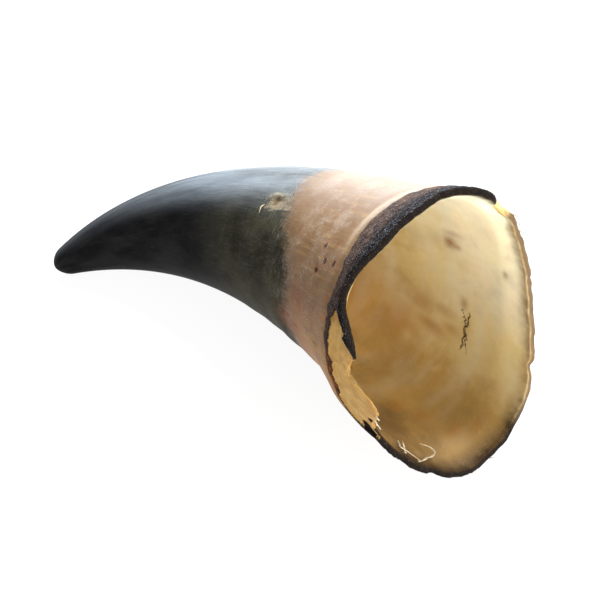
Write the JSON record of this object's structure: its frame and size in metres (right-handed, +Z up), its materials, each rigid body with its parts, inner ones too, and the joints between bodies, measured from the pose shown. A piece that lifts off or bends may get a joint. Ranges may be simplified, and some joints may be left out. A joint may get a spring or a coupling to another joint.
{
  "type": "cow horn",
  "caption": "Hollow, curved cow horn with a ragged oval mouth and a solid, rounded tip, lying on its side.",
  "frame": {"origin": "middle of the bounding box, on the surface that the horn lies on", "axes": "+X from the tip towards the mouth, -Y the way the bend opens, +Z up"},
  "size_m": [0.1874, 0.0856, 0.0842],
  "materials": {
    "horn": "satin"
  },
  "bodies": {
    "root": {"horn": "horn"}
  },
  "joints": []
}
